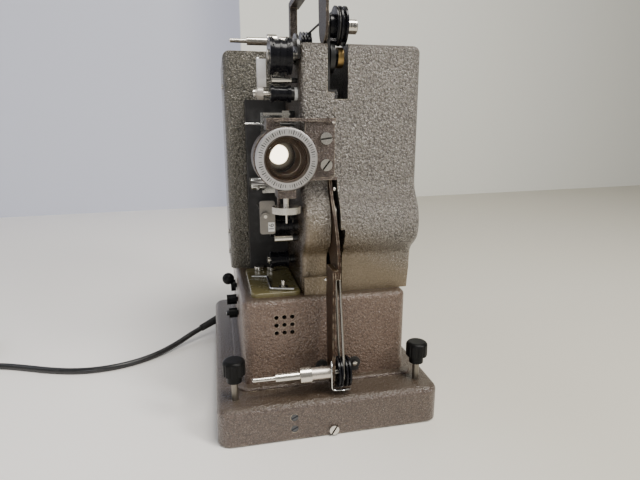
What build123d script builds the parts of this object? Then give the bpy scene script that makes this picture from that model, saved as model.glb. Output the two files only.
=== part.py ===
"""Compact 16 mm film projector: tray base, plinth, housings, lens, film path, reel arms, mains lead.

Millimetres. X runs to the drive side, Y to the rear, Z up. The origin is under the middle of the
base, on the surface that the rubber feet stand on. The lens looks along -Y.
"""
import os
from math import atan2, cos, degrees, hypot, pi, radians, sin, sqrt, tan

from build123d import *

os.makedirs("parts", exist_ok=True)

# ---- driving dimensions ----
base_w = 196
base_d = 274
base_top = 34
base_corner = 12
foot_h = 1.2
wall = 3
land_h = 2.5

plinth_left = -73
plinth_right = 77
plinth_w = plinth_right - plinth_left
plinth_mid = (plinth_left + plinth_right) / 2
plinth_front = -102
plinth_rear = 115
plinth_top = 114

body_top = 326
lamp_top = 332.5
body_front = -94
body_low_front = -90
bulge_front = -108
body_rear = 115
nose_left = -19
nose_right = 4
drive_left = 21
drive_right = 85.5
drive_foot_right = 81.5
taper_z = 165
seam_x = 9.6
lamp_left = -77.5
lamp_right = 20.5
lamp_front = 5

axis_x = -33
axis_z = 235
barrel_r = 21.2
ring_r = 24.8
lens_front = -113
clamp_x = -32.5
clamp_y = -100
fit = 0.05
gap = 0.3

shaft_r = 3
film_w = 16
sprocket_r = 14.5
upper_y = -80
upper_z = 316.5
timing_x = -7.5
timing_y = -65.7
worm_r = 7
wheel_r = 7
wheel_teeth = 12
lower_y = timing_y + worm_r + wheel_r + gap
lower_z = 174
shutter_z = 225
shutter_r = 34
shutter_groove_r = 6.6
motor_groove_r = 3.3

feed_y = -84
feed_teeth = 20
upper_teeth = 28
feed_z = upper_z + sqrt(((feed_teeth + upper_teeth) / 2) ** 2 - (feed_y - upper_y) ** 2)
feed_groove_x = 13.5
feed_groove_r = 13.2
takeup_y = -93.5
takeup_teeth = 24
lower_teeth = 64
takeup_z = lower_z + sqrt(((takeup_teeth + lower_teeth) / 2) ** 2 - (takeup_y - lower_y) ** 2)
takeup_belt_x = 10.3
takeup_groove_r = 6

upper_spindle_y = 38
upper_spindle_z = 347
spindle_groove_r = 9
lower_spindle_y = -123.5
lower_spindle_z = 52.5
lower_pulley_r = 13.2
lower_groove_r = 8
belt_r = 1.1

level_x = 82
level_y = -118

cord_r = 3.25
coil_turn_r = 36
coil_x = -402
coil_y = 98


def save(part, name):
    """Label a finished piece and write its STEP file."""
    part.label = name
    export_step(part, f"parts/{name}.step")


def x_plane(x, y, z):
    """A plane at (x, y, z) whose normal is +X, local x along +Y and local y along +Z."""
    return Plane(origin=(x, y, z), x_dir=(0, 1, 0), z_dir=(1, 0, 0))


def front_plane(x, y, z):
    """A plane at (x, y, z) whose normal is -Y, local x along +X and local y along +Z."""
    return Plane(origin=(x, y, z), x_dir=(1, 0, 0), z_dir=(0, -1, 0))


def rod_x(x0, x1, y, z, r, mode=Mode.ADD):
    """A round bar along X from x0 to x1."""
    with BuildSketch(x_plane(x0, y, z)) as section:
        Circle(r)
    extrude(section.sketch, amount=x1 - x0, mode=mode)


def rod_y(y0, y1, x, z, r, mode=Mode.ADD):
    """A round bar along Y from y0 (front) to y1 (rear)."""
    with BuildSketch(front_plane(x, y1, z)) as section:
        Circle(r)
    extrude(section.sketch, amount=y1 - y0, mode=mode)


def rod_z(z0, z1, x, y, r, mode=Mode.ADD):
    """A round bar along Z from z0 to z1."""
    with BuildSketch(Plane.XY.offset(z0)) as section:
        with Locations((x, y)):
            Circle(r)
    extrude(section.sketch, amount=z1 - z0, mode=mode)


def block(x0, x1, y0, y1, z0, z1, mode=Mode.ADD):
    """A plain block between two corners."""
    with BuildSketch(Plane.XY.offset(z0)) as section:
        with Locations(((x0 + x1) / 2, (y0 + y1) / 2)):
            Rectangle(x1 - x0, y1 - y0)
    extrude(section.sketch, amount=z1 - z0, mode=mode)


def gear_x(x0, x1, y, z, teeth, phase=0.0, bore=shaft_r, module=1.0):
    """A spur gear across X with slim straight teeth; phase turns it, in degrees."""
    pitch_r = module * teeth / 2
    root_r = pitch_r - 1.1 * module
    tip_r = pitch_r + 0.8 * module
    half_root = 0.62 * module
    half_tip = 0.30 * module
    with BuildSketch(x_plane(x0, y, z)) as section:
        Circle(root_r)
        with PolarLocations(0, teeth, start_angle=phase):
            with BuildLine():
                Polyline(
                    (root_r - 0.4 * module, -half_root),
                    (tip_r, -half_tip),
                    (tip_r, half_tip),
                    (root_r - 0.4 * module, half_root),
                    close=True,
                )
            make_face()
        if bore:
            Circle(bore, mode=Mode.SUBTRACT)
    extrude(section.sketch, amount=x1 - x0)


def front_outline(shift, bottom, top, rear):
    """Side view of the two front housings: upright, bulging forward low down, with a set-back foot.

    shift moves the front face inwards, for the inner wall of a shell.
    """
    with BuildLine() as outline:
        upper = (body_front + shift, 216)
        lower = (body_low_front + shift, 145)
        crown = (bulge_front + shift, 179)
        Polyline(lower, (body_low_front + shift, bottom), (rear, bottom), (rear, top),
                 (body_front + shift, top), upper)
        Spline(upper, (-102 + shift, 198), crown, (-102.5 + shift, 160), lower,
               tangents=[(0, -1), (0, -1)])
    make_face(outline.edges())


# ---- base ----
def make_base():
    post_places = [(-62, -121), (62, -121), (-82, 121), (82, 121)]
    with BuildPart() as base_tray:
        with BuildSketch(Plane.XY.offset(foot_h)):
            RectangleRounded(base_w, base_d, base_corner)
        extrude(amount=base_top - foot_h)
        fillet(base_tray.faces().sort_by(Axis.Z)[-1].edges(), 6)
        land_y = (plinth_front + plinth_rear) / 2
        with BuildSketch(Plane.XY.offset(base_top)):
            with Locations((plinth_mid, land_y)):
                RectangleRounded(plinth_w + 14, plinth_rear - plinth_front + 14, 12)
        extrude(amount=land_h)
        fillet(base_tray.faces().sort_by(Axis.Z)[-1].edges(), 2)
        with BuildSketch(Plane.XY.offset(foot_h)):
            RectangleRounded(base_w - 2 * wall, base_d - 2 * wall, base_corner - wall)
        extrude(amount=base_top - foot_h - wall, mode=Mode.SUBTRACT)
        for x, y in post_places:
            rod_z(foot_h, base_top - 1, x, y, 9)
        for x in (-level_x, level_x):
            rod_z(16, base_top - 1, x, level_y, 7.5)
            rod_z(0, base_top + 9, x, level_y, shaft_r + fit, mode=Mode.SUBTRACT)
        gland_hole = Plane(origin=(-base_w / 2 + 4, 104, 20), z_dir=(-0.80, -0.56, -0.20))
        with BuildSketch(gland_hole.offset(-16)):
            Circle(5)
        extrude(amount=32, mode=Mode.SUBTRACT)
        rod_z(base_top - 6, base_top + 9, 30, 40, 9, mode=Mode.SUBTRACT)
        rod_y(-base_d / 2 - 1, -base_d / 2 + 9, 0.2, 5.8, 2, mode=Mode.SUBTRACT)
        for z in (11, 21.5):
            rod_y(-base_d / 2 - 1, -base_d / 2 + 9, -34, z, 3.3, mode=Mode.SUBTRACT)
    save(base_tray.part, "base_tray")

    with BuildPart() as rubber_feet:
        for x, y in post_places:
            with BuildSketch(Plane.XY):
                with Locations((x, y)):
                    Circle(8)
            extrude(amount=foot_h, taper=-6)
    save(rubber_feet.part, "rubber_feet")


def make_levelling(side, x):
    """One levelling foot: a steel rod through the tray, with a lobed knob on top of it."""
    with BuildPart() as rod:
        rod_z(4, 62, x, level_y, shaft_r)
        rod_z(1, 4.5, x, level_y, 6.5)
        fillet(rod.faces().sort_by(Axis.Z)[0].edges(), 1)
    save(rod.part, f"{side}_levelling_rod")

    with BuildPart() as knob:
        rod_z(51, 59, x, level_y, 6.4)
        rod_z(58, 70.8, x, level_y, 9.6)
        fillet(knob.faces().sort_by(Axis.Z)[-1].edges(), 3.2)
        with BuildSketch(Plane.XY.offset(55)):
            with Locations((x, level_y)):
                with PolarLocations(11.2, 10):
                    Circle(2.1)
        extrude(amount=18, mode=Mode.SUBTRACT)
        rod_z(49, 64, x, level_y, shaft_r + fit, mode=Mode.SUBTRACT)
    save(knob.part, f"{side}_levelling_knob")


# ---- plinth ----
def make_plinth():
    bottom = base_top + land_h
    depth = plinth_rear - plinth_front
    middle_y = (plinth_front + plinth_rear) / 2
    with BuildPart() as plinth_casing:
        with BuildSketch(Plane.XY.offset(bottom)):
            with Locations((plinth_mid, middle_y)):
                RectangleRounded(plinth_w, depth, 9)
        extrude(amount=plinth_top - bottom)
        fillet(plinth_casing.faces().sort_by(Axis.Z)[-1].edges(), 5)
        with BuildSketch(Plane.XY.offset(bottom)):
            with Locations((plinth_mid, middle_y)):
                RectangleRounded(plinth_w - 2 * wall, depth - 2 * wall, 6)
        extrude(amount=plinth_top - bottom - wall, mode=Mode.SUBTRACT)
        with BuildSketch(front_plane(-36.4, plinth_front + wall + 1, 90.8)):
            with GridLocations(7, 7.2, 3, 3):
                Circle(2)
        extrude(amount=wall + 2, mode=Mode.SUBTRACT)
        with BuildSketch(Plane(origin=(0, plinth_rear + 1, 78), x_dir=(-1, 0, 0), z_dir=(0, 1, 0))):
            with GridLocations(12, 7, 7, 3):
                SlotOverall(9, 3)
        extrude(amount=-wall - 3, mode=Mode.SUBTRACT)
        for y, z in ((0, 97), (-10, 85), (-20, 74)):
            rod_x(-80, -70, y, z, 2.5 + fit, mode=Mode.SUBTRACT)
        rod_z(plinth_top - 6, plinth_top + 2, 50, 40, 8, mode=Mode.SUBTRACT)
    save(plinth_casing.part, "plinth_casing")

    with BuildPart() as resistor_unit:
        rod_x(-50, 50, 30, 70, 14)
        rod_x(-52, -50, 30, 70, 17)
        rod_x(50, 52, 30, 70, 17)
        for i in range(11):
            rod_x(-46 + 8.6 * i, -42 + 8.6 * i, 30, 70, 15.2)
        block(-52, -50, 22, 38, 36.5, 60)
        block(50, 52, 22, 38, 36.5, 60)
        rod_x(-53, 53, 30, 70, 6, mode=Mode.SUBTRACT)
    save(resistor_unit.part, "resistor_unit")

    with BuildPart() as foot_plate:
        with BuildSketch(Plane.XY.offset(plinth_top)):
            with Locations((-41.6, -52)):
                RectangleRounded(44.6, 82, 6)
        extrude(amount=4)
        fillet(foot_plate.faces().sort_by(Axis.Z)[-1].edges(), 1.5)
    save(foot_plate.part, "foot_plate")


def make_controls():
    """Operator-side controls on the left wall of the plinth."""
    left = plinth_left
    with BuildPart() as speed_lever:
        rod_x(left + wall - 1, left - 6, 0, 97, 2.5)
        rod_x(left - 1, left - 6, 0, 97, 6)
        with BuildSketch(x_plane(left - 6, 0, 97)):
            with BuildLine():
                Polyline((-3, 0), (-5, 8), (5, 8), (3, 0), close=True)
            make_face()
        extrude(amount=3)
        with Locations((left - 8.5, -1, 105)):
            Sphere(6.2)
    save(speed_lever.part, "speed_lever")

    with BuildPart() as lamp_switch_knob:
        rod_x(left - 1, left + 4, -10, 85, 2.5)
        with BuildSketch(x_plane(left - 11, -10, 85)):
            Circle(5.2)
            with PolarLocations(5.9, 10):
                Circle(1, mode=Mode.SUBTRACT)
        extrude(amount=10)
    save(lamp_switch_knob.part, "lamp_switch_knob")

    with BuildPart() as motor_switch_knob:
        rod_x(left - 1, left + 4, -20, 74, 2.5)
        with BuildSketch(x_plane(left - 9.5, -20, 74)):
            Circle(5)
        extrude(amount=8.5)
        with BuildSketch(x_plane(left - 12, -20, 74)):
            SlotOverall(9, 3)
        extrude(amount=3)
    save(motor_switch_knob.part, "motor_switch_knob")


# ---- housings ----
def make_nose():
    inner_left = nose_left + wall
    inner_right = nose_right - wall
    with BuildPart() as nose_housing:
        with BuildSketch(Plane.YZ.offset(nose_left)):
            front_outline(0, plinth_top, body_top, -10.2)
        extrude(amount=nose_right - nose_left)
        left_face = nose_housing.faces().sort_by(Axis.X)[0]
        corner = left_face.edges().sort_by(Axis.Y)[:4]
        fillet([e for e in corner if e.center().Y < -60], 6)
        top = nose_housing.faces().sort_by(Axis.Z)[-1]
        fillet([e for e in top.edges() if e.center().Y < -20 and e.center().X < 2], 4)
        block(nose_left + 2, nose_right, body_front - 1, -60, plinth_top, 130.5)
        with BuildSketch(Plane.YZ.offset(inner_left)):
            front_outline(wall, plinth_top, body_top - 2, 0)
        extrude(amount=inner_right - inner_left, mode=Mode.SUBTRACT)
        block(nose_right, seam_x, body_front, -36, 218, 288)
        block(seam_x, 12.4, body_front, -50, 283, 288)
        rod_y(-110, -68, axis_x, axis_z, 26.4, mode=Mode.SUBTRACT)
        rod_y(-70, -44, axis_x, axis_z, barrel_r + 0.8, mode=Mode.SUBTRACT)
        for y, z in ((upper_y, upper_z), (lower_y, lower_z)):
            rod_x(-25, 8, y, z, shaft_r + fit, mode=Mode.SUBTRACT)
        rod_x(1, 13, takeup_y, takeup_z, shaft_r)
        block(0, 12, -40, -14, 206, 244, mode=Mode.SUBTRACT)
        for y, z in ((-80, 297.8), (-80, 287), (-72.5, 174), (-52, 137)):
            rod_x(-20, -15, y, z, 2, mode=Mode.SUBTRACT)
        for z in (229.2, 250.8):
            rod_y(-99, -88, 1.6, z, 2, mode=Mode.SUBTRACT)
    save(nose_housing.part, "nose_housing")


def make_mechanism_frame():
    """Black casting behind the nose: carries the gate and the shaft bearings, with a rear rim."""
    rear = lamp_front - gap
    with BuildPart() as mechanism_frame:
        block(-58, -19.2, -10, -6, plinth_top, 286)
        block(-19.2, 20.7, -10, -6, plinth_top, 323)
        for x0, x1, z0, z1 in ((-58, -55, plinth_top, 286), (-58, -19.2, 283, 286),
                               (-22.2, -19.2, 286, 323), (-22.2, 20.7, 320, 323)):
            block(x0, x1, -10, rear, z0, z1)
        rod_y(-12, -4, axis_x, axis_z, 9, mode=Mode.SUBTRACT)
        rod_y(-16, -10, timing_x, shutter_z, 7)
        rod_y(-18, -4, timing_x, shutter_z, shaft_r + fit, mode=Mode.SUBTRACT)
        for z in (150, 294):
            block(timing_x - 5, timing_x + 5, timing_y - 5, -10, z, z + 5)
            rod_z(z - 1, z + 6, timing_x, timing_y, shaft_r + fit, mode=Mode.SUBTRACT)
    save(mechanism_frame.part, "mechanism_frame")


def make_motor_cover():
    inner_left = drive_left + wall
    with BuildPart() as motor_cover:
        with BuildSketch(Plane.YZ.offset(drive_left)):
            front_outline(0, plinth_top, body_top, body_rear)
        extrude(amount=drive_right - drive_left)
        right_face = motor_cover.faces().sort_by(Axis.X)[-1]
        fillet([e for e in right_face.edges() if e.center().Z > plinth_top + 2], 7)
        top = motor_cover.faces().sort_by(Axis.Z)[-1]
        fillet([e for e in top.edges() if e.center().X < drive_right - 10 and
                abs(e.center().X - drive_left) > 1], 4)
        with BuildSketch(Plane.YZ.offset(inner_left)):
            front_outline(wall, plinth_top, body_top - wall, body_rear - wall)
        extrude(amount=drive_right - wall - inner_left, mode=Mode.SUBTRACT)
        inner_right = drive_right - wall
        for x, reach, y0, y1, mode in (
            (inner_right, 0.5, body_low_front + 1, body_rear - 1, Mode.ADD),
            (drive_right, 20, -130, 130, Mode.SUBTRACT),
        ):
            with BuildSketch(front_plane(0, y1, 0)):
                with BuildLine():
                    Polyline((x, taper_z), (x - drive_right + drive_foot_right, plinth_top),
                             (x + reach, plinth_top), (x + reach, taper_z), close=True)
                make_face()
            extrude(amount=y1 - y0, mode=mode)
        block(seam_x + gap, drive_left, body_front, -36, 216, 282.5)
        with BuildSketch(Plane.YZ.offset(12.6)):
            front_outline(0, plinth_top, 216.5, -70)
        extrude(amount=drive_left - 12.6)
        block(12, 16.4, -120, -60, 157, 175, mode=Mode.SUBTRACT)
        block(12, 18.4, -120, -60, plinth_top - 1, 157, mode=Mode.SUBTRACT)
        rod_x(12, 14, takeup_y, takeup_z, 4, mode=Mode.SUBTRACT)
        block(drive_left - 1, inner_left + 1, -6, lamp_front, 180, 270, mode=Mode.SUBTRACT)
        block(drive_left - 1, inner_left + 1, -40, -14, 196, 244, mode=Mode.SUBTRACT)
        with BuildSketch(Plane(origin=(50, body_rear + 1, 220), x_dir=(-1, 0, 0), z_dir=(0, 1, 0))):
            with GridLocations(1, 8, 1, 14):
                SlotOverall(36, 3.4)
        extrude(amount=-wall - 3, mode=Mode.SUBTRACT)
        block(drive_left - 1, drive_left + 8, body_front - 1, body_front + 40, 328, 330,
              mode=Mode.SUBTRACT)
    save(motor_cover.part, "motor_cover")


def make_lamphouse():
    width = lamp_right - lamp_left
    middle_x = (lamp_left + lamp_right) / 2
    middle_y = (lamp_front + body_rear) / 2
    skin = 2.5
    with BuildPart() as lamphouse_shell:
        with BuildSketch(Plane.XY.offset(plinth_top)):
            with Locations((middle_x, middle_y)):
                Rectangle(width, body_rear - lamp_front)
        extrude(amount=lamp_top - plinth_top)
        left_face = lamphouse_shell.faces().sort_by(Axis.X)[0]
        fillet([e for e in left_face.edges() if e.center().Z > plinth_top + 2], 7)
        block(lamp_left + skin, lamp_right - skin, lamp_front + skin, body_rear - skin,
              plinth_top, lamp_top - skin, mode=Mode.SUBTRACT)
        rod_y(0, 10, axis_x, axis_z, 13, mode=Mode.SUBTRACT)
        with BuildSketch(Plane.XY.offset(lamp_top + 1)):
            with Locations((-36, 62)):
                with GridLocations(8, 1, 7, 1):
                    SlotOverall(56, 4, rotation=90)
        extrude(amount=-skin - 2, mode=Mode.SUBTRACT)
        with BuildSketch(Plane(origin=(middle_x, body_rear + 1, 190), x_dir=(-1, 0, 0),
                               z_dir=(0, 1, 0))):
            with GridLocations(1, 9, 1, 12):
                SlotOverall(54, 4)
        extrude(amount=-skin - 2, mode=Mode.SUBTRACT)
    save(lamphouse_shell.part, "lamphouse_shell")


def make_lamp():
    """Lamp, reflector and condenser on the optical axis, inside the lamphouse."""
    lamp_y = 52
    with BuildPart() as lamp_socket:
        rod_z(plinth_top, 118, axis_x, lamp_y, 20)
        rod_z(118, 176, axis_x, lamp_y, 5)
        rod_z(176, 196, axis_x, lamp_y, 13)
        rod_z(184, 197, axis_x, lamp_y, 10.3, mode=Mode.SUBTRACT)
    save(lamp_socket.part, "lamp_socket")

    with BuildPart() as lamp_bulb:
        with BuildSketch(Plane(origin=(axis_x, lamp_y, 0), x_dir=(1, 0, 0), z_dir=(0, -1, 0))):
            with BuildLine():
                Polyline((0, 184.5), (9.6, 184.5), (9.6, 204), (11, 208), (14, 213))
                TangentArc((14, 213), (14, 262), tangent=(0.4, 1))
                Line((14, 262), (0, 272))
                Line((0, 272), (0, 184.5))
            make_face()
        revolve(axis=Axis((axis_x, lamp_y, 0), (0, 0, 1)))
    save(lamp_bulb.part, "lamp_bulb")

    with BuildPart() as lamp_reflector:
        with BuildSketch(Plane(origin=(axis_x, 0, axis_z), x_dir=(0, 1, 0), z_dir=(1, 0, 0))):
            with BuildLine():
                ThreePointArc((74, 20), (82, 0.01), (74, -20))
                Line((74, -20), (75.6, -20.6))
                ThreePointArc((75.6, -20.6), (83.8, 0), (75.6, 20.6))
                Line((75.6, 20.6), (74, 20))
            make_face()
            with Locations((78, -11)):
                Rectangle(30, 22, mode=Mode.SUBTRACT)
        revolve(axis=Axis((axis_x, 0, axis_z), (0, 1, 0)))
        rod_y(83, 88, axis_x, axis_z, 5)
        block(axis_x - 5, axis_x + 5, 88, 90, plinth_top, axis_z + 5)
    save(lamp_reflector.part, "lamp_reflector")

    with BuildPart() as condenser_lens:
        with BuildSketch(Plane(origin=(axis_x, 0, axis_z), x_dir=(0, 1, 0), z_dir=(1, 0, 0))):
            with BuildLine():
                Polyline((9, 0), (9, 13.5), (12, 13.5))
                ThreePointArc((12, 13.5), (16.6, 7.5), (18.2, 0))
                Line((18.2, 0), (9, 0))
            make_face()
        revolve(axis=Axis((axis_x, 0, axis_z), (0, 1, 0)))
        with BuildSketch(front_plane(axis_x, 12, axis_z)):
            Circle(17)
            Circle(13.5, mode=Mode.SUBTRACT)
        extrude(amount=12 - lamp_front - 2.5)
    save(condenser_lens.part, "condenser_lens")


# ---- motor ----
def make_motor():
    motor_x = 51
    motor_z = 205
    with BuildPart() as motor_stator:
        rod_y(-18, 48, motor_x, motor_z, 23)
        rod_y(-30, 50, motor_x, motor_z, 15.5, mode=Mode.SUBTRACT)
        with BuildSketch(front_plane(motor_x, -18, motor_z)):
            Circle(23)
            Circle(shaft_r + fit, mode=Mode.SUBTRACT)
        extrude(amount=3)
        with BuildSketch(front_plane(motor_x, 51, motor_z)):
            Circle(23)
            Circle(shaft_r + fit, mode=Mode.SUBTRACT)
        extrude(amount=3)
        block(motor_x - 14, motor_x + 14, -10, 40, plinth_top, motor_z - 20)
        block(motor_x - 10, motor_x + 10, -6, 36, plinth_top + 4, motor_z - 26, mode=Mode.SUBTRACT)
    save(motor_stator.part, "motor_stator")

    with BuildPart() as motor_rotor:
        rod_y(-22, 78, motor_x, motor_z, shaft_r)
        rod_y(-36, -22, motor_x, motor_z, motor_groove_r)
        rod_y(-10, 40, motor_x, motor_z, 14.5)
        for y in (-34, -28.5):
            rod_y(y, y + 2.5, motor_x, motor_z, motor_groove_r + 1.3)
        rod_y(66, 68, motor_x, motor_z, 22)
        with BuildSketch(front_plane(motor_x, 76, motor_z)):
            with PolarLocations(14, 12):
                Rectangle(15, 1.2)
            Circle(6)
        extrude(amount=9)
    save(motor_rotor.part, "motor_rotor")

    belt_y = -30
    near = 0.15
    far = 1.3
    with BuildPart() as motor_belt:
        with BuildSketch(front_plane(0, belt_y + 0.9, 0)):
            make_hull(loop_edges((motor_x, motor_z), motor_groove_r + far,
                                 (timing_x, shutter_z), shutter_groove_r + far))
            make_hull(loop_edges((motor_x, motor_z), motor_groove_r + near,
                                 (timing_x, shutter_z), shutter_groove_r + near), mode=Mode.SUBTRACT)
        extrude(amount=1.8)
    save(motor_belt.part, "motor_belt")


def loop_edges(a, ra, b, rb):
    """The edges of two circles, for the hull of a belt round them."""
    first = Pos(a[0], a[1]) * Circle(ra, mode=Mode.PRIVATE)
    second = Pos(b[0], b[1]) * Circle(rb, mode=Mode.PRIVATE)
    return first.edges() + second.edges()


# ---- optics ----
def make_lens():
    with BuildPart() as lens_barrel:
        with BuildSketch(Plane(origin=(axis_x, 0, axis_z), x_dir=(0, 1, 0), z_dir=(1, 0, 0))):
            with BuildLine():
                Polyline(
                    (lens_front, 18.6),
                    (lens_front, ring_r - 1),
                    (lens_front + 1, ring_r),
                    (lens_front + 8, ring_r),
                    (lens_front + 9.5, barrel_r),
                    (-50, barrel_r),
                    (-50, 9.5),
                    (-62, 9.5),
                    (-66, 12.5),
                    (lens_front + 14, 16.2),
                    (lens_front + 6, 16.2),
                    (lens_front + 6, 17.2),
                    (lens_front + 2.5, 17.2),
                    close=True,
                )
            make_face()
        revolve(axis=Axis((axis_x, 0, axis_z), (0, 1, 0)))
        with BuildSketch(front_plane(axis_x, -98.3, axis_z)):
            Circle(barrel_r + 1.6)
            with PolarLocations(barrel_r + 1.9, 40):
                Rectangle(1.2, 1.2, mode=Mode.SUBTRACT)
        extrude(amount=4.5)
        rod_y(-106, -60, axis_x, axis_z, 12.5, mode=Mode.SUBTRACT)
    save(lens_barrel.part, "lens_barrel")

    with BuildPart() as lens_glass:
        with BuildSketch(Plane(origin=(axis_x, 0, axis_z), x_dir=(0, 1, 0), z_dir=(1, 0, 0))):
            with BuildLine():
                ThreePointArc((lens_front + 4.6, 17), (lens_front + 1.4, 0), (lens_front + 4.6, -17))
                Polyline((lens_front + 4.6, -17), (lens_front + 5.9, -17), (lens_front + 5.9, 17),
                         (lens_front + 4.6, 17))
            make_face()
            with Locations((lens_front, -20)):
                Rectangle(60, 40, mode=Mode.SUBTRACT)
        revolve(axis=Axis((axis_x, 0, axis_z), (0, 1, 0)))
        rod_y(-59.8, -55, axis_x, axis_z, 9.4)
    save(lens_glass.part, "lens_glass")


def make_lens_bracket():
    plate_rear = body_front - 0.1
    with BuildPart() as lens_bracket:
        block(-16, 9.2, -98, plate_rear, 218.5, 265)
        rod_y(-97, -74, axis_x, axis_z, 25.6)
        block(-42, 9.2, -102, plate_rear, 264.5, 267)
        block(-14, 10.6, -102, plate_rear, 217, 219.5)
        block(-16, -8, -97, -94.1, 218.5, 265)
        block(-40, -24, -97, -84, 203, 214)
        block(-40, -25, -106, -84, 203, 209.4)
        block(-47, -36, -96, -78, 258, 267)
        rod_y(-103, -70, axis_x, axis_z, barrel_r + fit, mode=Mode.SUBTRACT)
        block(axis_x - 0.8, axis_x + 0.8, -95, -73, 202, 216, mode=Mode.SUBTRACT)
        for z in (229.2, 250.8):
            rod_y(-99, -90, 1.6, z, 2, mode=Mode.SUBTRACT)
        rod_z(202, 210, clamp_x, clamp_y, 2.5 + fit, mode=Mode.SUBTRACT)
        rod_z(190, 204, -37.2, -86.2, 1.4)
    save(lens_bracket.part, "lens_bracket")

    with BuildPart() as lens_clamp_knob:
        rod_z(181, 208, clamp_x, clamp_y, 0.9)
        rod_z(195, 208.5, clamp_x, clamp_y, 2.5)
        with BuildSketch(Plane.XY.offset(190.3)):
            with Locations((clamp_x, clamp_y)):
                Circle(12)
                with PolarLocations(12.4, 44):
                    Circle(0.6, mode=Mode.SUBTRACT)
        extrude(amount=5.4)
        chamfer(lens_clamp_knob.faces().sort_by(Axis.Z)[0].edges(), 0.4)
    save(lens_clamp_knob.part, "lens_clamp_knob")


def make_gate():
    with BuildPart() as gate_plate:
        block(axis_x - 11, axis_x + 11, -14, -10, 196, 274)
        block(axis_x - 5.2, axis_x + 5.2, -16, -8, axis_z - 3.8, axis_z + 3.8, mode=Mode.SUBTRACT)
        block(axis_x - 8.2, axis_x + 8.2, -15, -13, 190, 280, mode=Mode.SUBTRACT)
        rod_x(-57, -44.8, -40, 208.4, 6.2)
        block(-56.9, -53.5, -38, -10, 204, 213)
    save(gate_plate.part, "gate_plate")

    with BuildPart() as pressure_plate:
        block(axis_x - 8, axis_x + 8, -17, -14.3, 205, 265)
        block(axis_x - 6, axis_x + 6, -20, -13, axis_z - 4.6, axis_z + 4.6, mode=Mode.SUBTRACT)
        block(axis_x - 10, axis_x - 8, -24, -15, 262, 270)
    save(pressure_plate.part, "pressure_plate")

    with BuildPart() as gate_lever:
        rod_x(-46, nose_left, -62, 263, 2)
        rod_x(-62, -46, -62, 263, 0.9)
        rod_x(-44, -40, -62, 263, 4.2)
        rod_x(-34, -31, -62, 263, 3.4)
        block(-40, -34, -64, -60, 259.5, 266.5)
    save(gate_lever.part, "gate_lever")


# ---- film path ----
def make_sprocket(name, y, z):
    """A black film sprocket: two toothed rims with a relieved middle and a centre ridge."""
    left = axis_x - film_w / 2 - 1
    right = axis_x + film_w / 2 + 1
    with BuildPart() as sprocket:
        rod_x(left, right, y, z, sprocket_r - 2)
        rod_x(left, left + 1.6, y, z, sprocket_r)
        rod_x(right - 1.6, right, y, z, sprocket_r)
        rod_x(left + 1.6, left + 4, y, z, sprocket_r - 0.8)
        rod_x(right - 4, right - 1.6, y, z, sprocket_r - 0.8)
        rod_x(axis_x - 0.8, axis_x + 0.8, y, z, sprocket_r - 1.2)
        for x in (left + 2.8, right - 2.8):
            with BuildSketch(x_plane(x - 0.4, y, z)):
                with PolarLocations(sprocket_r - 0.7, 12):
                    Rectangle(2.2, 1)
            extrude(amount=0.8)
        rod_x(left - 1, right + 1, y, z, shaft_r, mode=Mode.SUBTRACT)
    save(sprocket.part, name)


def make_shafts():
    wheel_x0 = timing_x - 3
    wheel_x1 = timing_x + 3
    upper_phase = degrees(atan2(feed_z - upper_z, feed_y - upper_y))
    with BuildPart() as upper_shaft:
        rod_x(-43.8, 19.5, upper_y, upper_z, shaft_r)
        rod_x(-43.4, -42.2, upper_y, upper_z, 5)
        gear_x(wheel_x0, wheel_x1, upper_y, upper_z, wheel_teeth, bore=0)
        gear_x(7.2, 11.2, upper_y, upper_z, upper_teeth, phase=upper_phase, bore=0)
        rod_x(14.5, 19.5, upper_y, upper_z, 6.8)
    save(upper_shaft.part, "upper_shaft")

    lower_phase = degrees(atan2(takeup_z - lower_z, takeup_y - lower_y))
    with BuildPart() as lower_shaft:
        rod_x(-44, 12, lower_y, lower_z, shaft_r)
        rod_x(-43.4, -42.2, lower_y, lower_z, 5)
        gear_x(wheel_x0, wheel_x1, lower_y, lower_z, wheel_teeth, bore=0)
        gear_x(7.3, 8.8, lower_y, lower_z, lower_teeth, phase=lower_phase, bore=0)
    save(lower_shaft.part, "lower_shaft")

    with BuildPart() as timing_shaft:
        rod_z(146, 320, timing_x, timing_y, shaft_r)
        rod_z(lower_z - 8, lower_z + 8, timing_x, timing_y, worm_r)
        rod_z(upper_z - 5, upper_z + 3.5, timing_x, timing_y, worm_r)
        rod_z(209, 213, timing_x, timing_y, 5)
        rod_z(213, shutter_z - 5.5, timing_x, timing_y, 8)
    save(timing_shaft.part, "timing_shaft")

    with BuildPart() as shutter:
        rod_y(timing_y + 5.2, 3, timing_x, shutter_z, shaft_r)
        rod_y(timing_y + 5.2, timing_y + 9, timing_x, shutter_z, 5.2)
        with BuildSketch(front_plane(timing_x, 0.6, shutter_z)):
            Circle(shutter_r)
            with PolarLocations(0, 3):
                with BuildLine():
                    Line((8 * cos(radians(-22)), 8 * sin(radians(-22))),
                         (40 * cos(radians(-22)), 40 * sin(radians(-22))))
                    Line((40 * cos(radians(-22)), 40 * sin(radians(-22))),
                         (40 * cos(radians(22)), 40 * sin(radians(22))))
                    Line((40 * cos(radians(22)), 40 * sin(radians(22))),
                         (8 * cos(radians(22)), 8 * sin(radians(22))))
                    Line((8 * cos(radians(22)), 8 * sin(radians(22))),
                         (8 * cos(radians(-22)), 8 * sin(radians(-22))))
                make_face(mode=Mode.SUBTRACT)
        extrude(amount=1.2)
        rod_y(-4, 3, timing_x, shutter_z, 7)
        rod_y(-34, -26, timing_x, shutter_z, shutter_groove_r)
        for y in (-34, -28.5):
            rod_y(y, y + 2.5, timing_x, shutter_z, shutter_groove_r + 1.3)
    save(shutter.part, "shutter")


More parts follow.
